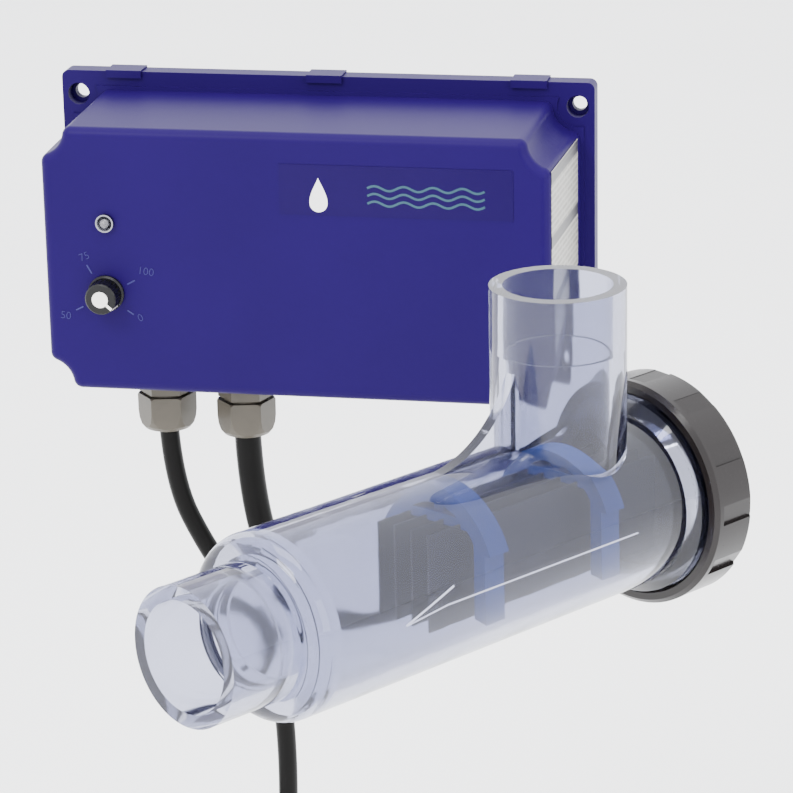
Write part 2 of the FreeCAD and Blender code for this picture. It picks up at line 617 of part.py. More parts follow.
# =================================================== printed film and label
keep(box("DecalFilm", D("decal_x"), D("decal_x") + D("decal_w"), F - D("film_t"), F,
         D("decal_z"), D("decal_z") + D("decal_hgt")), "decal_panel")
lean = math.degrees(math.atan2(D("base_hw").value - D("face_hw").value, D("dome_front").value - D("flange_front").value))
lab = box("LabelFilm", 0, D("film_t"), 0, D("label_len"), D("label_z"), D("label_z") + D("label_hgt"))
lab_x = D("face_hw") + (D("label_y") + D("dome_front")) * math.tan(math.radians(lean))
lab.Placement = Placement(Vector(0, 0, 0), Rotation(Vector(0, 0, 1), -lean))
drive(lab, "Placement.Base.x", lab_x)
drive(lab, "Placement.Base.y", D("label_y"))
keep(lab, "rating_label")

# ============================================================ cable glands
for side, gx, cable_r, drop in (("mains", D("gland_xl"), D("mains_r"), Q.of(0)), ("cell", D("gland_xr"), D("lead_r"), D("gland_drop"))):
    gy = D("gland_y")
    bore = cable_r + D("seal_wall")
    # threaded body with its hexagonal collar
    b = new_body(side.capitalize() + "GlandBody")
    sk = sketch(b, side + "GlandCollar", "XY_Plane", D("collar_bot") - drop)
    hexagon(sk, 0, 0, D("collar_af"), 12.0)
    pad(b, sk, D("gland_top") - D("collar_bot") + drop, side + "GlandCollarPad")
    sk = sketch(b, side + "GlandStem", "XY_Plane", D("stem_bot") - drop)
    circle(sk, 0, 0, D("stem_r"))
    pad(b, sk, D("collar_bot") - D("stem_bot") + 0.5, side + "GlandStemPad")
    sk = sketch(b, side + "GlandThread", "XY_Plane", D("gland_top") - 0.5)
    circle(sk, 0, 0, D("thread_r"))
    pad(b, sk, 11.5, side + "GlandThreadPad")
    doc.recompute()
    sk = sketch(b, side + "GlandBore", "XY_Plane", D("stem_bot") - drop - 1)
    circle(sk, 0, 0, bore)
    pocket(b, sk, 45.0, side + "GlandBoreCut", reverse=True)
    drive(b, "Placement.Base.x", gx)
    drive(b, "Placement.Base.y", gy)
    keep(b, side + "_gland_body")
    # clamping nut: hexagon above, rounded below
    top, bot = D("gnut_top") - drop, D("gnut_bot") - drop
    ring = new_body(side.capitalize() + "NutRound")
    sk = sketch(ring, side + "NutProfile", "XZ_Plane")
    polygon(sk, [(cable_r + 0.35, bot), (D("gnut_lip"), bot), (D("gnut_lip") + 2.9, bot + 1.1),
                 (D("gnut_lip") + 4.6, bot + 3.3), (D("gnut_lip") + 5.6, bot + 6.4), (D("gnut_lip") + 6.1, bot + 10.5),
                 (D("gnut_lip") + 6.15, top - 1.0), (D("gnut_lip") + 5.4, top), (D("gnut_bore"), top),
                 (D("gnut_bore"), bot + 8.0), (cable_r + D("seal_wall") + 0.6, bot + 3.2), (cable_r + 0.35, bot + 3.2)])
    revolve(ring, sk, side + "NutTurn", axis="Z_Axis")
    hexa = hexbar(side + "NutHex", D("gnut_af"), top - bot + 2, (0, 0, bot - 1), UP, 12.0)
    nut = common(side + "Nut", [ring, hexa])
    drive(nut, "Placement.Base.x", gx)
    drive(nut, "Placement.Base.y", gy)
    keep(nut, side + "_gland_nut")
    # rubber sleeve squeezed on the cable
    keep(cut(side + "Seal", cyl(side + "SealOuter", bore, 15.0, (gx, gy, D("stem_bot") - drop - 0.6), UP),
             cyl(side + "SealInner", cable_r, 20.0, (gx, gy, D("stem_bot") - drop - 2), UP)), side + "_gland_seal")
    keep(cut(side + "Locknut", hexbar(side + "LocknutHex", D("collar_af"), D("locknut_t"), (gx, gy, -D("face_hh") + D("wall_t") + 0.1), UP),
             cyl(side + "LocknutBore", D("thread_r"), 12.0, (gx, gy, -D("face_hh") - 1), UP)), side + "_gland_locknut")

# ================================================= inside the control unit
bx, bz = D("board_x"), D("board_z")
by = D("board_y") - D("board_t")
plate = box("BoardPlate", bx - D("board_w") / 2, bx + D("board_w") / 2, by, D("board_y"), bz - D("board_hgt") / 2, bz + D("board_hgt") / 2)
drills = []
screws = []
for n, (sx, sz) in enumerate([(1, 1), (1, -1), (-1, 1), (-1, -1)]):
    px, pz = bx + D("post_pitch") * (sx / 2), bz + D("post_pitch") * (sz / 2)
    drills.append(cyl("BoardHole%d" % n, 1.7, 4.0, (px, D("board_y") + 1, pz), OUT))
    screws.append(fuse("BoardScrew%d" % n, [cyl("BoardScrewHead%d" % n, 2.8, 1.8, (px, by, pz), OUT),
                                            cyl("BoardScrewShank%d" % n, D("screw_r"), 7.5, (px, by + 7.5, pz), OUT)]))
keep(cut("CircuitBoard", plate, fuse("BoardHoles", drills)), "circuit_board")
keep(group("BoardScrews", screws), "board_screws")
keep(group("Capacitors", [cyl("Capacitor%d" % n, 11.0, 30.0, (bx + 30, by, bz + z), OUT) for n, z in enumerate((30.0, 4.0))]), "capacitors")
keep(group("Relays", [box("Relay%d" % n, bx - 30, bx - 1, by - 15.5, by, bz + z, bz + z + 12.6) for n, z in enumerate((28.0, 8.0))]), "relays")
keep(box("TerminalBlock", bx - 30, bx + 34, by - 14, by, bz - 52, bz - 40), "terminal_block")
keep(box("FuseHolder", bx - 28, bx + 2, by - 6, by, bz - 20, bz - 10), "fuse_holder")
keep(cyl("Fuse", 2.6, 20.0, (bx - 23, by - 8.6, bz - 15), (1, 0, 0)), "fuse")
# heat sink with fins at both ends and the rectifier between them
fins = [box("SinkBase", -4.0, 24.0, -D("tray_t") - 4, -D("tray_t"), -40.0, 40.0)]
for n, x in enumerate((-4.0, 2.4, 8.8, 15.4, 22.0)):
    for k, (z0, z1) in enumerate(((18.0, 40.0), (-40.0, -18.0))):
        fins.append(box("SinkFin%d%d" % (n, k), x, x + 2, -D("tray_t") - 24, -D("tray_t") - 3, z0, z1))
keep(fuse("HeatSink", fins), "heat_sink")
keep(box("Rectifier", -3.0, 23.0, -D("tray_t") - 14, -D("tray_t") - 4, -13.0, 13.0), "rectifier")
# ring transformer on a rubber pad, clamped by a dished washer and one bolt
tx, tz = D("toroid_x"), D("toroid_z")
keep(cut("ToroidPad", cyl("PadDisc", D("toroid_r") - 3, 2.0, (tx, -D("tray_t"), tz), OUT), cyl("PadHole", 9.0, 4.0, (tx, -D("tray_t") + 1, tz), OUT)), "toroid_pad")
b = new_body("ToroidBody")
sk = sketch(b, "ToroidProfile", "XY_Plane")
y0, y1 = -D("tray_t") - 2.0, -D("tray_t") - 2.0 - D("toroid_len")
polygon(sk, [(D("toroid_hole"), y0 - 5), (D("toroid_hole") + 5, y0), (D("toroid_r") - 7, y0), (D("toroid_r"), y0 - 7),
             (D("toroid_r"), y1 + 7), (D("toroid_r") - 7, y1), (D("toroid_hole") + 5, y1), (D("toroid_hole"), y1 + 5)])
revolve(b, sk, "ToroidTurn", axis="Y_Axis")
drive(b, "Placement.Base.x", tx)
drive(b, "Placement.Base.z", tz)
keep(b, "toroid_transformer")
keep(cut("ToroidWasher", cyl("WasherDisc", 34.0, 2.0, (tx, y1, tz), OUT), cyl("WasherHole", 4.2, 5.0, (tx, y1 + 1, tz), OUT)), "toroid_washer")
keep(fuse("ToroidBolt", [hexbar("BoltHead", 13.0, 5.3, (tx, y1 - 2.0, tz), OUT), cyl("BoltShank", 4.0, 44.0, (tx, y1 + 42.0, tz), OUT)]), "toroid_bolt")

# ============================================================== flow cell
b = new_body("HousingBody")
sk = sketch(b, "HousingProfile", "XZ_Plane")
polygon(sk, [(D("open_s"), 0), (D("open_s"), D("collar_r")), (D("collar_s"), D("collar_r")), (D("collar_s") + 5.0, D("body_r")),
             (D("body_end"), D("body_r")), (D("body_end"), D("pipe_r")), (D("spigot_end"), D("pipe_r")), (D("spigot_end"), 0)])
turned = revolve(b, sk, "HousingTurn")
turned = round_edges(b, turned, "EndRound", lambda e: abs(mid(e).x - 193) < 0.01 and abs(math.hypot(mid(e).y, mid(e).z) - 42.5) < 0.01, D("end_round"))
sk = sketch(b, "PortCircle", "XY_Plane")
circle(sk, 0, 0, D("pipe_r"))
port = pad(b, sk, D("port_top"), "PortPad")
doc.recompute()
# web between the port and the barrel, with a hollow curved edge
sk = sketch(b, "GussetShape", "XZ_Plane")
p0 = Vector(D("pipe_r").value - 0.5, D("gusset_h").value, 0)
p1 = Vector(D("gusset_s").value, D("body_r").value - 0.3, 0)
chord = p1 - p0
half = chord.Length / 2
R = D("gusset_r").value
sag = R - math.sqrt(R * R - half * half)
into = Vector(chord.y, -chord.x, 0)
into.normalize()
arc_c = (p0 + p1) * 0.5 + into * (sag - R)
arc, s_pos = ccw_arc(sk, arc_c, R, p0, p1, (p0 + p1) * 0.5 + into * sag)
corner = [(p1, Vector(p1.x, 20, 0)), (Vector(p1.x, 20, 0), Vector(p0.x, 20, 0)), (Vector(p0.x, 20, 0), p0)]
ids = [sk.addGeometry(Part.LineSegment(u, v), False) for u, v in corner]
sk.addConstraint(Sketcher.Constraint("Coincident", arc, 3 - s_pos, ids[0], 1))
sk.addConstraint(Sketcher.Constraint("Coincident", ids[0], 2, ids[1], 1))
sk.addConstraint(Sketcher.Constraint("Coincident", ids[1], 2, ids[2], 1))
sk.addConstraint(Sketcher.Constraint("Coincident", ids[2], 2, arc, s_pos))
pin_point(sk, ids[0], 1, D("gusset_s"), D("body_r") - 0.3)
pin_point(sk, ids[1], 1, D("gusset_s"), 20.0)
pin_point(sk, ids[2], 1, D("pipe_r") - 0.5, 20.0)
pin_point(sk, arc, s_pos, D("pipe_r") - 0.5, D("gusset_h"))
n = sk.addConstraint(Sketcher.Constraint("Radius", arc, R))
sk.setExpression("Constraints[%d]" % n, "Sizes.gusset_r")
pad(b, sk, D("gusset_t"), "GussetPad", middle=True)
doc.recompute()
sk = sketch(b, "HousingBore", "XZ_Plane")
polygon(sk, [(D("open_s") - 1, 0), (D("open_s") - 1, D("bore_r")), (D("body_end") - 17, D("bore_r")), (D("body_end") - 12.5, D("bore_r") - 1.6),
             (D("body_end") - 9.5, D("bore_r") - 5), (D("body_end") - 8, D("stop_r") + 3), (D("body_end") - 7, D("stop_r")),
             (D("spigot_end") - D("socket_len"), D("stop_r")), (D("spigot_end") - D("socket_len"), D("socket_r")),
             (D("spigot_end") + 1, D("socket_r")), (D("spigot_end") + 1, 0)])
revolve(b, sk, "HousingBoreCut", cut=True)
sk = sketch(b, "PortSocket", "XY_Plane", D("port_top") - D("socket_len"))
circle(sk, 0, 0, D("socket_r"))
pocket(b, sk, D("socket_len") + 1, "PortSocketCut", reverse=True)
sk = sketch(b, "PortThroat", "XY_Plane", 10.0)
circle(sk, 0, 0, D("stop_r"))
pocket(b, sk, 80.0, "PortThroatCut", reverse=True)
in_cell(b)
keep(b, "cell_housing")

# union nut, with twelve stepped grips round its rim
b = new_body("UnionNutBody")
sk = sketch(b, "UnionNutProfile", "XZ_Plane")
polygon(sk, [(D("nut_front"), D("nut_bore") + 1.2), (D("nut_front"), D("nut_r") - 2.0), (D("nut_front") - 2.0, D("nut_r")),
             (D("nut_back") + 1.5, D("nut_r")), (D("nut_back"), D("nut_r") - 1.5), (D("nut_back"), D("nut_hole")),
             (D("nut_back") + D("nut_wall"), D("nut_hole")), (D("nut_back") + D("nut_wall"), D("nut_bore")),
             (D("nut_front") - 1.2, D("nut_bore"))])
revolve(b, sk, "UnionNutTurn")
sk = sketch(b, "GripCut", "YZ_Plane", D("nut_back") - 1)
polygon(sk, [(-D("grip_w") / 2, D("nut_r") - 0.45), (D("grip_w") / 2, D("nut_r") - 0.5 - D("grip_depth")),
             (D("grip_w") / 2, D("nut_r") + 2), (-D("grip_w") / 2, D("nut_r") + 2)])
grip = pocket(b, sk, 21.5, "GripCutPocket", reverse=True)
pat = b.newObject("PartDesign::PolarPattern", "Grips")
pat.Originals = [grip]
pat.Axis = (origin(b, "X_Axis"), [""])
pat.Angle = 360.0
pat.Occurrences = 12
b.Tip = pat
in_cell(b)
keep(b, "union_nut")

X = (1, 0, 0)
ring_s = D("nut_back") + D("nut_wall") + 0.3
slip = cut("SlipRing", cyl("SlipOuter", D("nut_bore") - 0.7, 1.3, (ring_s, 0, 0), X), cyl("SlipInner", D("nut_hole") + 1, 4.0, (ring_s - 1, 0, 0), X))
keep(in_cell(slip), "slip_ring")

# electrode head: plug, flange and rear boss in one moulding
b = new_body("HeadBody")
fl0 = D("open_s") - 0.1
fl1 = fl0 - D("head_flange_t")
sk = sketch(b, "HeadProfile", "XZ_Plane")
g0, g1 = D("oring_s") + 1.7, D("oring_s") - 1.7
gr = D("bore_r") - 2 * D("oring_minor")
polygon(sk, [(D("plug_s"), 0), (D("plug_s"), D("plug_r")), (g0, D("plug_r")), (g0, gr), (g1, gr), (g1, D("plug_r")),
             (fl0, D("plug_r")), (fl0, D("head_flange_r")), (fl1, D("head_flange_r")), (fl1, D("head_boss_r")),
             (D("head_back"), D("head_boss_r")), (D("head_back"), 0)])
revolve(b, sk, "HeadTurn")
sk = sketch(b, "HeadPostHoles", "YZ_Plane", D("head_back") - 1)
circle(sk, D("post_w"), 0, D("post_r"))
circle(sk, -D("post_w"), 0, D("post_r"))
pocket(b, sk, 40.0, "HeadPostHoleCuts", reverse=True)
in_cell(b)
keep(b, "electrode_head")

ring = doc.addObject("Part::Torus", "HeadORing")
drive(ring, "Radius1", D("bore_r") - D("oring_minor"))
drive(ring, "Radius2", D("oring_minor") - 0.02)
ring.Placement = Placement(Vector(D("oring_s").value, 0, 0), Rotation(Vector(0, 0, 1), Vector(1, 0, 0)))
drive(ring, "Placement.Base.x", D("oring_s"))
keep(in_cell(group("HeadORingPlaced", [ring])), "head_o_ring")

for label, where in (("anode_plates", (-1.5, 0.5)), ("cathode_plates", (-0.5, 1.5))):
    sheets = []
    for n, k in enumerate(where):
        y = D("plate_pitch") * k
        sheets.append(box("%s%d" % (label, n), D("plug_s"), D("plate_end"), y - D("plate_t") / 2, y + D("plate_t") / 2, -D("plate_hh"), D("plate_hh")))
    keep(in_cell(group(label + "_group", sheets)), label)

for label, s in (("front_comb", D("comb_front_s")), ("rear_comb", D("comb_rear_s"))):
    s0, s1 = s - D("comb_w") / 2, s + D("comb_w") / 2
    arch = cut(label + "Arch", cyl(label + "Outer", D("comb_r"), D("comb_w"), (s0, 0, 0), X),
               fuse(label + "Void", [cyl(label + "Inner", D("comb_in"), D("comb_w") + 2, (s0 - 1, 0, 0), X),
                                     box(label + "Lower", s0 - 1, s1 + 1, -50.0, 50.0, -50.0, D("leg_top") - 6)]))
    legs = [box(label + "Leg%d" % n, s0, s1, y0_, y1_, D("leg_bot"), D("leg_top"))
            for n, (y0_, y1_) in enumerate(((D("leg_in"), D("leg_w")), (-D("leg_w"), -D("leg_in"))))]
    rail = box(label + "Rail", s0, s1, -20.0, 20.0, D("plate_hh") - 2.2, D("plate_hh") + 2.4)
    web = box(label + "Web", s0 + 3, s1 - 3, -3.0, 3.0, D("plate_hh"), D("comb_in") + 2)
    slots = []
    for n, k in enumerate((-1.5, -0.5, 0.5, 1.5)):
        y = D("plate_pitch") * k
        slots.append(box(label + "Slot%d" % n, s0 - 1, s1 + 1, y - D("plate_t") / 2 - 0.05, y + D("plate_t") / 2 + 0.05, -30.0, D("plate_hh") + 0.05))
    comb = cut(label + "Cut", fuse(label + "Solid", [arch, rail, web] + legs), fuse(label + "Slots", slots))
    keep(in_cell(comb), label)

keep(in_cell(group("TerminalPosts", [cyl("Post%d" % n, D("post_r"), D("plug_s") - D("post_back"), (D("post_back"), D("post_w") * k, 0), X)
                                     for n, k in enumerate((1, -1))])), "terminal_posts")
keep(in_cell(group("TerminalNuts", [cut("TermNut%d" % n, hexbar("TermNutHex%d" % n, 10.0, 4.5, (D("head_back") - 5.0, D("post_w") * k, 0), X),
                                        cyl("TermNutBore%d" % n, D("post_r"), 8.0, (D("head_back") - 7.0, D("post_w") * k, 0), X))
                                    for n, k in enumerate((1, -1))])), "terminal_nuts")
# rubber boot over the terminals, with a side outlet for the lead
dip = math.radians(D("outlet_dip").value)
side_dir = (0, -math.cos(dip), -math.sin(dip))
boot = cut("BootSolidCut", fuse("BootOuter", [
    cyl("BootCup", D("boot_r"), D("head_back") - 0.1 - D("boot_cup_back"), (D("boot_cup_back"), 0, 0), X),
    cyl("BootNeck", D("boot_neck_r"), D("boot_cup_back") + 1.0 - D("boot_back"), (D("boot_back"), 0, 0), X),
    cyl("BootOutlet", D("outlet_r"), D("outlet_len"), (D("outlet_s"), 0, 0), side_dir)]),
    fuse("BootInner", [cyl("BootRoom", D("boot_r") - 2, D("head_back") - D("boot_cup_back"), (D("boot_cup_back") + 2, 0, 0), X),
                       cyl("BootNeckRoom", D("boot_neck_r") - 2, D("boot_cup_back") + 2.0 - D("boot_back"), (D("boot_back") + 2, 0, 0), X),
                       cyl("BootLeadHole", D("lead_r"), D("outlet_len") + 5, (D("outlet_s"), 0, 0), side_dir)]))
keep(in_cell(boot), "terminal_boot")

doc.recompute()


# ================================================================== cables
def tube(label, points, radius):
    """A round cable along straight runs joined by tangent arcs."""
    pts = [Vector(*p) for p in points]
    edges = []
    start = pts[0]
    radii = []
    for i in range(1, len(pts) - 1):
        u, v = pts[i] - pts[i - 1], pts[i + 1] - pts[i]
        lu, lv = u.Length, v.Length
        u.normalize()
        v.normalize()
        turn = u.getAngle(v)
        back = 0.45 * min(lu, lv)
        radii.append(back / math.tan(turn / 2))
        a, c = pts[i] - u * back, pts[i] + v * back
        bis = v - u
        bis.normalize()
        centre = pts[i] + bis * (math.hypot(radii[-1], back))
        m = centre + (pts[i] - centre).normalize() * radii[-1]
        edges.append(Part.LineSegment(start, a).toShape())
        edges.append(Part.Arc(a, m, c).toShape())
        start = c
    edges.append(Part.LineSegment(start, pts[-1]).toShape())
    path = Part.Wire(edges)
    first = (pts[1] - pts[0]).normalize()
    ring_ = Part.Wire([Part.makeCircle(radius, pts[0], first)])
    solid = path.makePipeShell([ring_], True, False)
    o = doc.addObject("Part::Feature", label + "_tube")
    o.Shape = solid
    o.Placement = Placement()
    ratio = solid.Volume / (math.pi * radius * radius * path.Length)
    print("%s length %.1f volume/section*length %.4f radii %s" % (label, path.Length, ratio, [round(r_, 1) for r_ in radii]))
    if abs(ratio - 1) > 0.01:
        raise RuntimeError("tube volume is off: " + label)
    return o


gl, gr_, gyv = D("gland_xl").value, D("gland_xr").value, D("gland_y").value
stem = D("stem_bot").value
# mains cable: from the gland down to the coil
MAINS = [(gl, gyv, stem + 6), (gl + 0.6, gyv, -138.0), (gl + 21.0, gyv - 1, -181.0), (gl + 48.0, gyv - 1, -218.0),
         (gl + 61.0, gyv, -264.0), (gl + 62.5, gyv + 3, -314.0), (gl + 60.0, gyv + 5, -366.0)]
keep(tube("mains_cable", MAINS, D("mains_r").value), "mains_cable")
# the rest of it, wound in one tied coil
coil_c = Vector(gl + 60.0 - 54.6, gyv, -402.0)
prof = Part.makeBox(24.0, 24.0, 1.0)
wind = Part.makeCylinder(61.0, 23.0, Vector(coil_c.x, gyv + 11.5, coil_c.z), Vector(0, -1, 0)).cut(
    Part.makeCylinder(37.5, 30.0, Vector(coil_c.x, gyv + 15, coil_c.z), Vector(0, -1, 0)))
wind = wind.makeFillet(9.0, [e for e in wind.Edges if len(e.Vertexes) == 1 or e.Length > 200])
o = doc.addObject("Part::Feature", "MainsCoil")
o.Shape = wind
keep(o, "mains_coil")

# cell lead: from the gland round to the boot behind the cell
def cell_point(s, w, hgt):
    return CELL.multVec(Vector(s, w, hgt))


far = [cell_point(D("outlet_s").value, side_dir[1] * d, side_dir[2] * d) for d in (20.0, 34.0)]
t_dir = Vector(far[1].x - gr_, far[1].y - gyv, 0)
run = t_dir.Length
t_dir.normalize()


def hang(t, z):
    return (gr_ + t_dir.x * t, gyv + t_dir.y * t, z)


LEAD = [(gr_, gyv, stem + 4.5), (gr_ + 0.3, gyv, -158.0), hang(45, -206), hang(108, -207), hang(158, -170),
        hang(217, -130), hang(277.0, -92.6), (far[0].x, far[0].y, far[0].z)]
keep(tube("cell_lead", LEAD, D("lead_r").value), "cell_lead")
print("lead points", [tuple(round(c, 1) for c in p) for p in LEAD])

# strap round the coil
tie = Part.makeBox(3.0, 26.6, 27.6, Vector(-1.5, -13.3, -13.8)).cut(Part.makeBox(9.0, 23.4, 24.4, Vector(-4.5, -11.7, -12.2)))
tie = tie.fuse(Part.makeBox(4.5, 5.0, 4.0, Vector(-2.25, -18.3, -2.0)))
tie.translate(Vector(coil_c.x, gyv, coil_c.z - 49.25))
o = doc.addObject("Part::Feature", "CoilTie")
o.Shape = tie
keep(o, "cable_tie")

# short tail and moulded plug with its two pins
px_, pz_ = D("plug_x"), D("plug_z")
keep(cyl("MainsTail", D("mains_r"), 66.0, (px_, D("gland_y"), pz_ + 40.0), UP), "mains_tail")
b = new_body("PlugBody")
sk = sketch(b, "PlugProfile", "XZ_Plane")
polygon(sk, [(0, 0), (D("plug_body_r"), 0), (D("plug_body_r"), 12.0), (D("plug_body_r") - 3, 18.0), (12.0, 26.0), (10.0, 36.0),
             (8.0, 40.0), (7.0, 62.0), (D("mains_r"), 62.0), (D("mains_r"), 40.0), (0, 40.0)])
revolve(b, sk, "PlugTurn", axis="Z_Axis")
drive(b, "Placement.Base.x", px_)
drive(b, "Placement.Base.y", D("gland_y"))
drive(b, "Placement.Base.z", pz_)
keep(b, "plug_body")
keep(group("PlugPins", [cyl("Pin%d" % n, D("pin_r"), D("pin_len"), (px_ + D("pin_pitch") * k, D("gland_y"), pz_), DOWN)
                        for n, k in enumerate((0.5, -0.5))]), "plug_pins")

doc.recompute()

# ============================================================== write out
bad = [o.Name for o in doc.Objects if any(s in ("Invalid", "Error") for s in o.State)]
if bad:
    raise RuntimeError("failed objects: " + ", ".join(bad))
for p in parts:
    if p.Shape.isNull() or not p.Shape.isValid() or not p.Shape.Solids:
        raise RuntimeError("bad shape: " + p.Label)
os.makedirs("parts", exist_ok=True)
for p in parts:
    p.Shape.exportStep(os.path.join("parts", p.Label + ".step"))
    bb = p.Shape.BoundBox
    print("%-22s %2d solids  x %.1f..%.1f  y %.1f..%.1f  z %.1f..%.1f" % (
        p.Label, len(p.Shape.Solids), bb.XMin, bb.XMax, bb.YMin, bb.YMax, bb.ZMin, bb.ZMax))
print(len(parts), "nodes")
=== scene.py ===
import json
import math

import bmesh
import bpy
from mathutils import Matrix, Vector


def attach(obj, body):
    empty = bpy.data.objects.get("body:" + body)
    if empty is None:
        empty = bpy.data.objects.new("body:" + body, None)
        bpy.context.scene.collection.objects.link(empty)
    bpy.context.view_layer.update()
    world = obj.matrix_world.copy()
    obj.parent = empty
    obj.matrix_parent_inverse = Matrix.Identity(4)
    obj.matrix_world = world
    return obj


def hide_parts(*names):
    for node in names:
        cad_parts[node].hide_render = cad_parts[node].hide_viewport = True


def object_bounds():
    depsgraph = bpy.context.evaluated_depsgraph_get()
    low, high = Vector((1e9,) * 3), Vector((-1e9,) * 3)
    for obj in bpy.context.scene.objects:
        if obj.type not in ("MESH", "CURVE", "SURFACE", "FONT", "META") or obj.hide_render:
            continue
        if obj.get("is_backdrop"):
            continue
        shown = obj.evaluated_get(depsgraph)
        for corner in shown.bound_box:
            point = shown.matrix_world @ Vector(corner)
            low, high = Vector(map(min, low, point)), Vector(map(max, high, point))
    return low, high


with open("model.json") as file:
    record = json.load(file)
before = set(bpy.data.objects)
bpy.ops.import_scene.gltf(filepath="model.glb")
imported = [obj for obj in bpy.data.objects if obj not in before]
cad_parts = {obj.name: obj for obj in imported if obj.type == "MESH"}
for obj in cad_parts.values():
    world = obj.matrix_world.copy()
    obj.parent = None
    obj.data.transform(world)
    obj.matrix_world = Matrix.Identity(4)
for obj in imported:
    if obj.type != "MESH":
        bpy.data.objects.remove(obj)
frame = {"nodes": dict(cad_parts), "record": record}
lo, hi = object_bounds()
sizes = {"cad": [list(lo), list(hi)]}
nodes = frame["nodes"]

# ------------------------------------------------------------------ camera
# The view is from the lower right front, 18 degrees down, with a long lens.
right = Vector((0.98123094, 0.19190946, -0.01888396))
down = Vector((0.04169901, -0.30677239, -0.95086902))
ahead = Vector((-0.18827383, 0.93223466, -0.30901699))
cam = bpy.data.cameras.new("camera")
cam.sensor_width = 36.0
cam.lens = 3500.0 / 793.0 * 36.0
cam.clip_start, cam.clip_end = 0.05, 50.0
camera = bpy.data.objects.new("camera", cam)
camera.matrix_world = Matrix(((right.x, -down.x, -ahead.x, 0.4089), (right.y, -down.y, -ahead.y, -1.8545),
                              (right.z, -down.z, -ahead.z, 0.5118), (0, 0, 0, 1)))
bpy.context.scene.collection.objects.link(camera)
bpy.context.scene.camera = camera


# --------------------------------------------------------------- materials
def graph(name):
    m = bpy.data.materials.new(name)
    m.use_nodes = True
    nt = m.node_tree
    for n in list(nt.nodes):
        nt.nodes.remove(n)
    out = nt.nodes.new("ShaderNodeOutputMaterial")
    return m, nt, out


def link(nt, a, b):
    nt.links.new(a, b)


def noise(nt, scale, detail=4.0, rough=0.55, stretch=None):
    co = nt.nodes.new("ShaderNodeTexCoord")
    src = co.outputs["Object"]
    if stretch:
        mp = nt.nodes.new("ShaderNodeMapping")
        mp.inputs["Scale"].default_value = stretch
        link(nt, src, mp.inputs["Vector"])
        src = mp.outputs["Vector"]
    n = nt.nodes.new("ShaderNodeTexNoise")
    n.inputs["Scale"].default_value = scale
    n.inputs["Detail"].default_value = detail
    n.inputs["Roughness"].default_value = rough
    link(nt, src, n.inputs["Vector"])
    return n


def ramp(nt, fac, stops):
    r = nt.nodes.new("ShaderNodeValToRGB")
    el = r.color_ramp.elements
    while len(el) < len(stops):
        el.new(0.5)
    for e, (pos, col) in zip(el, stops):
        e.position = pos
        e.color = (col[0], col[1], col[2], 1.0)
    link(nt, fac, r.inputs["Fac"])
    return r


def tone(col, k):
    return tuple(min(1.0, c * k) for c in col)


def surface(name, col, rough, metal=0.0, vary=0.07, wide=22.0, fine=900.0, bump=0.05, rough_vary=0.06, coat=0.0,
            stretch=None, spec=0.5):
    """A moulded or metal finish: soft colour drift, uneven gloss and a fine grain."""
    m, nt, out = graph(name)
    p = nt.nodes.new("ShaderNodeBsdfPrincipled")
    big = noise(nt, wide, 3.0)
    c = ramp(nt, big.outputs["Fac"], [(0.3, tone(col, 1 - vary)), (0.7, tone(col, 1 + vary))])
    link(nt, c.outputs["Color"], p.inputs["Base Color"])
    small = noise(nt, fine, 5.0, 0.6, stretch)
    mr = nt.nodes.new("ShaderNodeMapRange")
    mr.inputs["To Min"].default_value = max(0.02, rough - rough_vary)
    mr.inputs["To Max"].default_value = rough + rough_vary
    link(nt, small.outputs["Fac"], mr.inputs["Value"])
    link(nt, mr.outputs["Result"], p.inputs["Roughness"])
    p.inputs["Metallic"].default_value = metal
    p.inputs["Specular IOR Level"].default_value = spec
    p.inputs["Coat Weight"].default_value = coat
    p.inputs["Coat Roughness"].default_value = 0.15
    b = nt.nodes.new("ShaderNodeBump")
    b.inputs["Strength"].default_value = bump
    b.inputs["Distance"].default_value = 0.0004
    link(nt, small.outputs["Fac"], b.inputs["Height"])
    link(nt, b.outputs["Normal"], p.inputs["Normal"])
    link(nt, p.outputs["BSDF"], out.inputs["Surface"])
    return m


blue = surface("blue_casing", (0.0085, 0.0012, 0.052), 0.42, vary=0.06, wide=9.0, fine=1400.0, bump=0.06, rough_vary=0.05, spec=0.06)
# lighter copy of the casing blue: a painted highlight for light caught by the embossed dial ticks and numbers
lit_blue_relief = surface("blue_relief_painted_highlight", (0.022, 0.019, 0.105), 0.40, vary=0.05, spec=0.2)
film_blue = surface("film_blue", (0.0075, 0.0011, 0.045), 0.30, vary=0.04, fine=2500.0, bump=0.01, spec=0.07)
black = surface("black_plastic", (0.003, 0.003, 0.0035), 0.32, vary=0.12, bump=0.10, spec=0.22)
charcoal = surface("charcoal_plastic", (0.008, 0.0062, 0.0062), 0.25, vary=0.10, wide=35.0, fine=700.0, bump=0.08, rough_vary=0.07, spec=0.26)
head_dark = surface("head_plastic", (0.005, 0.0048, 0.008), 0.40, vary=0.10, spec=0.12)
nylon = surface("grey_nylon", (0.060, 0.052, 0.039), 0.36, vary=0.08, wide=120.0, fine=1100.0, bump=0.06, spec=0.28)
rubber = surface("black_rubber", (0.004, 0.004, 0.0045), 0.55, vary=0.15, fine=1800.0, bump=0.12, spec=0.2)
cable_black = surface("cable_jacket", (0.0016, 0.0014, 0.0013), 0.42, vary=0.18, wide=60.0, fine=1500.0, bump=0.10, spec=0.09)
comb_blue = surface("comb_blue", (0.012, 0.095, 0.400), 0.40, vary=0.07, wide=60.0)
titanium = surface("titanium", (0.004, 0.004, 0.008), 0.50, metal=0.05, vary=0.16, wide=40.0, fine=500.0, bump=0.10,
                   stretch=(1.0, 1.0, 9.0))
zinc = surface("zinc_steel", (0.30, 0.295, 0.285), 0.30, metal=1.0, vary=0.06)
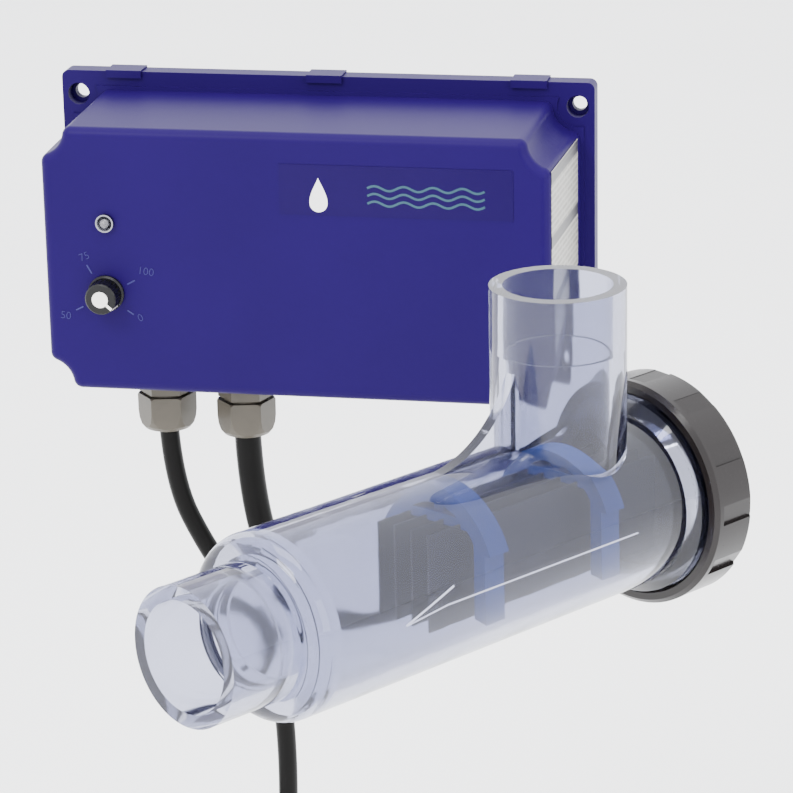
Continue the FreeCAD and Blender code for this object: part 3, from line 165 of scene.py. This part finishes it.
chrome = surface("chrome_trim", (0.22, 0.22, 0.25), 0.18, metal=1.0, vary=0.04, rough_vary=0.03, bump=0.02)
white = surface("white_plastic", (0.80, 0.76, 0.75), 0.32, vary=0.04)
board = surface("board_green", (0.020, 0.130, 0.050), 0.35, vary=0.15, wide=260.0)
tape = surface("winding_tape", (0.62, 0.48, 0.10), 0.30, vary=0.12, wide=70.0, stretch=(6.0, 1.0, 1.0))
alu = surface("aluminium", (0.56, 0.57, 0.58), 0.34, metal=1.0, vary=0.05, stretch=(1.0, 1.0, 12.0))
brass = surface("nickel_pins", (0.26, 0.24, 0.19), 0.22, metal=1.0, vary=0.04)
ivory = surface("ivory_plastic", (0.55, 0.52, 0.42), 0.45, vary=0.06)
print_white = surface("print_white", (0.80, 0.80, 0.80), 0.45, vary=0.03, bump=0.01)
print_teal = surface("print_teal", (0.001, 0.040, 0.066), 0.40, vary=0.05, bump=0.01)
etched = surface("etched_line", (0.34, 0.35, 0.46), 0.35, vary=0.05)


def clear_pvc():
    """Tinted clear pipe plastic, a little milky."""
    m, nt, out = graph("clear_pvc")
    p = nt.nodes.new("ShaderNodeBsdfPrincipled")
    p.inputs["Transmission Weight"].default_value = 1.0
    p.inputs["IOR"].default_value = 1.45
    big = noise(nt, 14.0, 3.0)
    c = ramp(nt, big.outputs["Fac"], [(0.3, (0.50, 0.52, 0.68)), (0.7, (0.58, 0.60, 0.76))])
    link(nt, c.outputs["Color"], p.inputs["Base Color"])
    mr = nt.nodes.new("ShaderNodeMapRange")
    mr.inputs["To Min"].default_value = 0.02
    mr.inputs["To Max"].default_value = 0.07
    link(nt, big.outputs["Fac"], mr.inputs["Value"])
    link(nt, mr.outputs["Result"], p.inputs["Roughness"])
    wave = noise(nt, 26.0, 2.0)
    b = nt.nodes.new("ShaderNodeBump")
    b.inputs["Strength"].default_value = 0.10
    b.inputs["Distance"].default_value = 0.002
    link(nt, wave.outputs["Fac"], b.inputs["Height"])
    link(nt, b.outputs["Normal"], p.inputs["Normal"])
    haze = nt.nodes.new("ShaderNodeBsdfDiffuse")
    haze.inputs["Color"].default_value = (0.050, 0.050, 0.088, 1.0)
    thru = nt.nodes.new("ShaderNodeBsdfTranslucent")
    thru.inputs["Color"].default_value = (0.055, 0.055, 0.100, 1.0)
    both = nt.nodes.new("ShaderNodeMixShader")
    both.inputs["Fac"].default_value = 0.5
    link(nt, haze.outputs["BSDF"], both.inputs[1])
    link(nt, thru.outputs["BSDF"], both.inputs[2])
    mix = nt.nodes.new("ShaderNodeMixShader")
    mix.inputs["Fac"].default_value = 0.13
    link(nt, p.outputs["BSDF"], mix.inputs[1])
    link(nt, both.outputs["Shader"], mix.inputs[2])
    link(nt, mix.outputs["Shader"], out.inputs["Surface"])
    return m


def label_paper():
    """Pale rating label: rows of grey blocks and darker bands, no lettering."""
    m, nt, out = graph("label_print")
    p = nt.nodes.new("ShaderNodeBsdfPrincipled")
    co = nt.nodes.new("ShaderNodeTexCoord")
    mp = nt.nodes.new("ShaderNodeMapping")
    mp.inputs["Rotation"].default_value = (0.0, math.radians(90), math.radians(90))
    link(nt, co.outputs["Object"], mp.inputs["Vector"])
    br = nt.nodes.new("ShaderNodeTexBrick")
    br.inputs["Scale"].default_value = 60.0
    br.inputs["Color1"].default_value = (0.15, 0.145, 0.125, 1)
    br.inputs["Color2"].default_value = (0.20, 0.195, 0.17, 1)
    br.inputs["Mortar"].default_value = (0.30, 0.29, 0.265, 1)
    br.inputs["Mortar Size"].default_value = 0.045
    br.inputs["Brick Width"].default_value = 0.9
    br.inputs["Row Height"].default_value = 0.20
    link(nt, mp.outputs["Vector"], br.inputs["Vector"])
    wv = nt.nodes.new("ShaderNodeTexWave")
    wv.bands_direction = "Z"
    wv.inputs["Scale"].default_value = 9.0
    wv.inputs["Distortion"].default_value = 0.0
    link(nt, co.outputs["Object"], wv.inputs["Vector"])
    dark = ramp(nt, wv.outputs["Fac"], [(0.90, (1, 1, 1)), (0.93, (0.12, 0.12, 0.14))])
    mul = nt.nodes.new("ShaderNodeMix")
    mul.data_type = "RGBA"
    mul.blend_type = "MULTIPLY"
    mul.inputs[0].default_value = 1.0
    link(nt, br.outputs["Color"], mul.inputs[6])
    link(nt, dark.outputs["Color"], mul.inputs[7])
    link(nt, mul.outputs[2], p.inputs["Base Color"])
    p.inputs["Roughness"].default_value = 0.35
    link(nt, p.outputs["BSDF"], out.inputs["Surface"])
    return m


def lamp_glass():
    m, nt, out = graph("lamp_lens")
    p = nt.nodes.new("ShaderNodeBsdfPrincipled")
    n = noise(nt, 600.0)
    c = ramp(nt, n.outputs["Fac"], [(0.3, (0.16, 0.16, 0.18)), (0.7, (0.24, 0.24, 0.26))])
    link(nt, c.outputs["Color"], p.inputs["Base Color"])
    p.inputs["Roughness"].default_value = 0.12
    p.inputs["Transmission Weight"].default_value = 0.45
    p.inputs["IOR"].default_value = 1.49
    link(nt, p.outputs["BSDF"], out.inputs["Surface"])
    return m


pvc = clear_pvc()
paper = label_paper()
lens = lamp_glass()

FINISH = {
    "front_cover": blue, "back_tray": blue, "cover_gasket": rubber, "cover_screws": zinc, "led_bezel": chrome,
    "led_lens": lens, "led_nut": zinc, "knob_body": black, "knob_cap": white, "control_shaft": alu,
    "potentiometer": zinc, "potentiometer_nut": zinc, "decal_panel": film_blue, "rating_label": paper,
    "circuit_board": board, "board_screws": zinc, "capacitors": black, "relays": ivory, "terminal_block": ivory,
    "fuse_holder": black, "fuse": white, "heat_sink": alu, "rectifier": black, "toroid_pad": rubber,
    "toroid_transformer": tape, "toroid_washer": zinc, "toroid_bolt": zinc, "cell_housing": pvc,
    "union_nut": charcoal, "slip_ring": white, "electrode_head": head_dark, "head_o_ring": rubber,
    "anode_plates": titanium, "cathode_plates": titanium, "front_comb": comb_blue, "rear_comb": comb_blue,
    "terminal_posts": titanium, "terminal_nuts": zinc, "terminal_boot": rubber, "cable_tie": black,
    "plug_body": rubber, "plug_pins": brass, "mains_gland_body": nylon, "mains_gland_nut": nylon,
    "mains_gland_locknut": nylon, "cell_gland_body": nylon, "cell_gland_nut": nylon, "cell_gland_locknut": nylon,
    "mains_gland_seal": rubber, "cell_gland_seal": rubber,
}
for name, obj in nodes.items():
    m = FINISH.get(name, cable_black)
    if not obj.material_slots:
        obj.data.materials.append(m)
    for s in obj.material_slots:
        s.material = m


def piece(name, obj, body, mat):
    obj.name = name
    obj.data.name = name
    if obj.name not in bpy.context.scene.collection.objects:
        bpy.context.scene.collection.objects.link(obj)
    obj.data.materials.clear()
    obj.data.materials.append(mat)
    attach(obj, body)
    return obj


# ------------------------------------------------------------------ cables
def cable(name, points, radius):
    cu = bpy.data.curves.new(name, "CURVE")
    cu.dimensions = "3D"
    sp = cu.splines.new("NURBS")
    sp.points.add(len(points) - 1)
    for p, c in zip(sp.points, points):
        p.co = (c[0], c[1], c[2], 1.0)
    sp.order_u = 3
    sp.use_endpoint_u = True
    cu.resolution_u = 14
    cu.bevel_depth = radius
    cu.bevel_resolution = 8
    cu.use_fill_caps = True
    return bpy.data.objects.new(name, cu)


MAINS = [(-0.0850, -0.0560, -0.0930), (-0.0844, -0.0560, -0.1380), (-0.0640, -0.0570, -0.1810), (-0.0370, -0.0570, -0.2180),
         (-0.0240, -0.0560, -0.2640), (-0.0225, -0.0530, -0.3140), (-0.0250, -0.0510, -0.3660)]
coil = Vector((-0.0796, -0.0560, -0.4020))
turns = []
STEPS = 12
levels = [(0.0548, 0.0057), (0.0434, 0.0057), (0.0434, -0.0057), (0.0548, -0.0057)]
for k in range(1, 4 * STEPS + 1):
    t = k / STEPS
    i = min(int(t), 3)
    part_way = t - i
    r, y = levels[i]
    if part_way < 0.25 and i > 0:
        u = part_way / 0.25
        u = u * u * (3 - 2 * u)
        r = levels[i - 1][0] * (1 - u) + r * u
        y = levels[i - 1][1] * (1 - u) + y * u
    ang = -2 * math.pi * t
    wob = 1.0 + 0.006 * math.sin(2.3 * k)
    turns.append((coil.x + r * 1.026 * wob * math.cos(ang), coil.y + y, coil.z + r * 1.026 * wob * math.sin(ang)))
TAIL = [(-0.0245, -0.0605, -0.4240), (-0.0250, -0.0570, -0.4500), (-0.0250, -0.0560, -0.4790)]
mains = piece("mains_flex", cable("mains_flex", MAINS + turns + TAIL, 0.0055), "root", cable_black)
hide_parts("mains_cable", "mains_coil", "mains_tail")

LEAD = [(-0.0396, -0.0560, -0.0945), (-0.0393, -0.0560, -0.1580), (-0.0051, -0.0849, -0.2060), (0.0433, -0.1253, -0.2070),
        (0.0816, -0.1573, -0.1700), (0.1320, -0.1889, -0.1300), (0.1794, -0.2256, -0.0926), (0.2219, -0.2576, -0.0553)]
lead = piece("cell_flex", cable("cell_flex", LEAD, 0.0074), "root", cable_black)
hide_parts("cell_lead")

# --------------------------------------------------- marks on the casing
front = -0.100


def strip(name, pts, width, y, mat, body="root", closed=False, thick=0.00012):
    """A flat printed or raised stroke in a plane parallel to the casing's face."""
    bm = bmesh.new()
    n = len(pts)
    left_, right_ = [], []
    for i, p in enumerate(pts):
        a = pts[(i - 1) % n] if (closed or i > 0) else p
        b = pts[(i + 1) % n] if (closed or i < n - 1) else p
        d = Vector((b[0] - a[0], b[1] - a[1])).normalized()
        nrm = Vector((-d.y, d.x))
        w = width(i / max(1, n - 1)) if callable(width) else width
        left_.append((p[0] + nrm.x * w / 2, p[1] + nrm.y * w / 2))
        right_.append((p[0] - nrm.x * w / 2, p[1] - nrm.y * w / 2))
    rows = []
    for lft, rgt in zip(left_, right_):
        rows.append([bm.verts.new((lft[0], y, lft[1])), bm.verts.new((rgt[0], y, rgt[1])),
                     bm.verts.new((rgt[0], y - thick, rgt[1])), bm.verts.new((lft[0], y - thick, lft[1]))])
    last = n if closed else n - 1
    for i in range(last):
        a, b = rows[i], rows[(i + 1) % n]
        for k in range(4):
            bm.faces.new((a[k], a[(k + 1) % 4], b[(k + 1) % 4], b[k]))
    if not closed:
        bm.faces.new(rows[0])
        bm.faces.new(list(reversed(rows[-1])))
    bmesh.ops.recalc_face_normals(bm, faces=bm.faces)
    me = bpy.data.meshes.new(name)
    bm.to_mesh(me)
    bm.free()
    return piece(name, bpy.data.objects.new(name, me), body, mat)


MM = 0.001
kx, kz = -105.1 * MM, -19.4 * MM
# dial ticks and numbers take the lighter blue, a painted highlight on the raised marks
for label, deg, r0, r1 in (("0", -33.0, 14.2, 18.4), ("50", 207.0, 14.2, 19.0), ("75", 120.0, 14.2, 19.6), ("100", 29.0, 14.2, 19.2)):
    a = math.radians(deg)
    strip("dial_tick_" + label, [(kx + math.cos(a) * r * MM, kz + math.sin(a) * r * MM) for r in (r0, (r0 + r1) / 2, r1)],
          0.75 * MM, front + 0.00002, lit_blue_relief, thick=0.00022)
for label, x, z, turn, size in (("75", -116.0, 2.2, 22.0, 6.0), ("100", -82.0, -5.0, -8.0, 6.2), ("50", -128.0, -31.4, -6.0, 6.2),
                                ("0", -86.0, -31.2, 24.0, 6.0)):
    cu = bpy.data.curves.new("dial_text_" + label, "FONT")
    cu.body = label
    cu.size = size * MM
    cu.extrude = 0.00011
    cu.offset = -0.00012
    cu.align_x = "CENTER"
    cu.align_y = "CENTER"
    tmp = bpy.data.objects.new("tmp", cu)
    bpy.context.scene.collection.objects.link(tmp)
    dg = bpy.context.evaluated_depsgraph_get()
    me = bpy.data.meshes.new_from_object(tmp.evaluated_get(dg))
    bpy.data.objects.remove(tmp)
    me.transform(Matrix.Translation((x * MM, front - 0.0001, z * MM)) @ Matrix.Rotation(math.radians(-turn), 4, "Y")
                 @ Matrix.Rotation(math.radians(90), 4, "X"))
    piece("dial_number_" + label, bpy.data.objects.new("dial_number_" + label, me), "root", lit_blue_relief)

# white line down the knob's skirt, continuing the pointer
pa = math.radians(-41.0)
bm = bmesh.new()
prof = [(8.66, -113.1), (8.78, -110.5), (8.92, -107.5), (9.08, -104.4)]
w = 0.35
rows = []
for r, y in prof:
    c = Vector((math.cos(pa), 0, math.sin(pa)))
    tdir = Vector((-math.sin(pa), 0, math.cos(pa)))
    base = Vector((-104.3, y, -17.6))
    rows.append([bm.verts.new((base + c * (r + o) + tdir * s) * MM) for o, s in ((-0.2, -w), (0.14, -w), (0.14, w), (-0.2, w))])
for a, b in zip(rows, rows[1:]):
    for k in range(4):
        bm.faces.new((a[k], a[(k + 1) % 4], b[(k + 1) % 4], b[k]))
bm.faces.new(rows[0])
bm.faces.new(list(reversed(rows[-1])))
bmesh.ops.recalc_face_normals(bm, faces=bm.faces)
me = bpy.data.meshes.new("knob_line")
bm.to_mesh(me)
bm.free()
piece("knob_line", bpy.data.objects.new("knob_line", me), "knob", white)

# generic mark on the film: a plain water drop and three teal waves
py = -0.1003
cxm, czm = 14.5, 41.5
drop = []
for i in range(41):
    t = math.pi * 2 * i / 40
    rr = 7.0
    x = rr * math.sin(t) * (math.sin(t / 2) ** 1.5)
    z = rr * 1.35 * math.cos(t)
    drop.append(((cxm + x) * MM, (czm - 0.6 + z) * MM))
bm = bmesh.new()
va = [bm.verts.new((x, py, z)) for x, z in drop[:-1]]
vb = [bm.verts.new((x, py - 0.00012, z)) for x, z in drop[:-1]]
bm.faces.new(va)
bm.faces.new(list(reversed(vb)))
for i in range(len(va)):
    j = (i + 1) % len(va)
    bm.faces.new((va[i], va[j], vb[j], vb[i]))
bmesh.ops.recalc_face_normals(bm, faces=bm.faces)
me = bpy.data.meshes.new("film_drop")
bm.to_mesh(me)
bm.free()
piece("film_drop", bpy.data.objects.new("film_drop", me), "root", print_white)
for n, (z0, x0, x1) in enumerate(((45.4, 41.0, 104.0), (41.2, 41.0, 104.0), (37.0, 41.0, 104.0))):
    pts = []
    for i in range(0, 121):
        x = x0 + (x1 - x0) * i / 120
        pts.append((x * MM, (z0 + 1.25 * math.sin((x - x0) * 2 * math.pi / 15.75)) * MM))
    strip("film_wave_%d" % n, pts, 1.25 * MM, py, print_teal)

# ------------------------------------------------ flow arrow on the cell
mounts = {m["name"]: m for m in frame["record"]["mounts"]}
ax = Vector(mounts["outlet_spigot"]["axis"])
side = Vector((-ax.y, ax.x, 0))
pin_ = Vector(mounts["inlet_socket"]["pos_m"])
cell0 = Vector((pin_.x, pin_.y, mounts["outlet_spigot"]["pos_m"][2]))


def on_cell(s, ang, r=42.5):
    return cell0 + ax * (s * MM) + side * (r * math.cos(ang) * MM) + Vector((0, 0, r * math.sin(ang) * MM))


def ridge(name, pts, width):
    bm = bmesh.new()
    rows = []
    for i, (s, t) in enumerate(pts):
        a = on_cell(*pts[max(0, i - 1)])
        b = on_cell(*pts[min(len(pts) - 1, i + 1)])
        d = (b - a).normalized()
        nrm = (side * math.cos(t) + Vector((0, 0, math.sin(t)))).normalized()
        sd = d.cross(nrm).normalized() * (width / 2 * MM)
        lo_, hi_ = on_cell(s, t, 42.45), on_cell(s, t, 42.95)
        rows.append([bm.verts.new(lo_ - sd), bm.verts.new(hi_ - sd * 0.35), bm.verts.new(hi_ + sd * 0.35), bm.verts.new(lo_ + sd)])
    for a, b in zip(rows, rows[1:]):
        for k in range(4):
            bm.faces.new((a[k], a[(k + 1) % 4], b[(k + 1) % 4], b[k]))
    bm.faces.new(rows[0])
    bm.faces.new(list(reversed(rows[-1])))
    bmesh.ops.recalc_face_normals(bm, faces=bm.faces)
    me = bpy.data.meshes.new(name)
    bm.to_mesh(me)
    bm.free()
    return piece(name, bpy.data.objects.new(name, me), "root", etched)


def walk(p, q, n=24):
    return [(p[0] + (q[0] - p[0]) * i / n, p[1] + (q[1] - p[1]) * i / n) for i in range(n + 1)]


ARROW_TAIL, ARROW_MID, ARROW_TIP, ARROW_BARB = (-7.1, 0.038), (116.0, 0.046), (141.6, -0.012), (111.2, 0.216)
ridge("flow_arrow_shaft", walk(ARROW_TAIL, ARROW_MID, 50) + walk(ARROW_MID, ARROW_TIP, 12)[1:], 0.9)
ridge("flow_arrow_barb", walk(ARROW_BARB, ARROW_TIP, 30), 1.1)

# ------------------------------------------------------- floor and light
floor_me = bpy.data.meshes.new("floor")
bm = bmesh.new()
bmesh.ops.create_grid(bm, x_segments=2, y_segments=2, size=14.0)
bm.to_mesh(floor_me)
bm.free()
floor = bpy.data.objects.new("floor", floor_me)
floor.location = (0, 0, sizes["cad"][0][2] - 0.004)
bpy.context.scene.collection.objects.link(floor)
fm, nt, out = graph("floor_pale")
p = nt.nodes.new("ShaderNodeBsdfPrincipled")
n = noise(nt, 3.0)
c = ramp(nt, n.outputs["Fac"], [(0.3, (0.97, 0.97, 0.97)), (0.7, (0.99, 0.99, 0.99))])
link(nt, c.outputs["Color"], p.inputs["Base Color"])
p.inputs["Roughness"].default_value = 0.9
link(nt, p.outputs["BSDF"], out.inputs["Surface"])
floor_me.materials.append(fm)
floor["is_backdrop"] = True

world = bpy.data.worlds.new("world")
bpy.context.scene.world = world
world.use_nodes = True
bg = world.node_tree.nodes["Background"]
bg.inputs["Color"].default_value = (0.97, 0.98, 1.0, 1.0)
bg.inputs["Strength"].default_value = 3.4


def area(name, loc, target, size, power):
    li = bpy.data.lights.new(name, "AREA")
    li.shape = "RECTANGLE"
    li.size, li.size_y = size
    li.energy = power
    o = bpy.data.objects.new(name, li)
    o.location = loc
    o.rotation_mode = "QUATERNION"
    o.rotation_quaternion = (Vector(target) - Vector(loc)).to_track_quat("-Z", "Y")
    bpy.context.scene.collection.objects.link(o)
    return o


area("key", (-0.9, -1.9, 1.9), (0.05, -0.2, -0.05), (1.2, 0.9), 60.0)
area("fill", (1.9, -1.6, 0.7), (0.1, -0.2, -0.05), (1.4, 1.4), 22.0)
area("top", (0.1, -0.3, 2.2), (0.1, -0.2, 0.0), (1.6, 1.0), 34.0)

lo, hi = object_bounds()
sizes["visual"] = [list(lo), list(hi)]
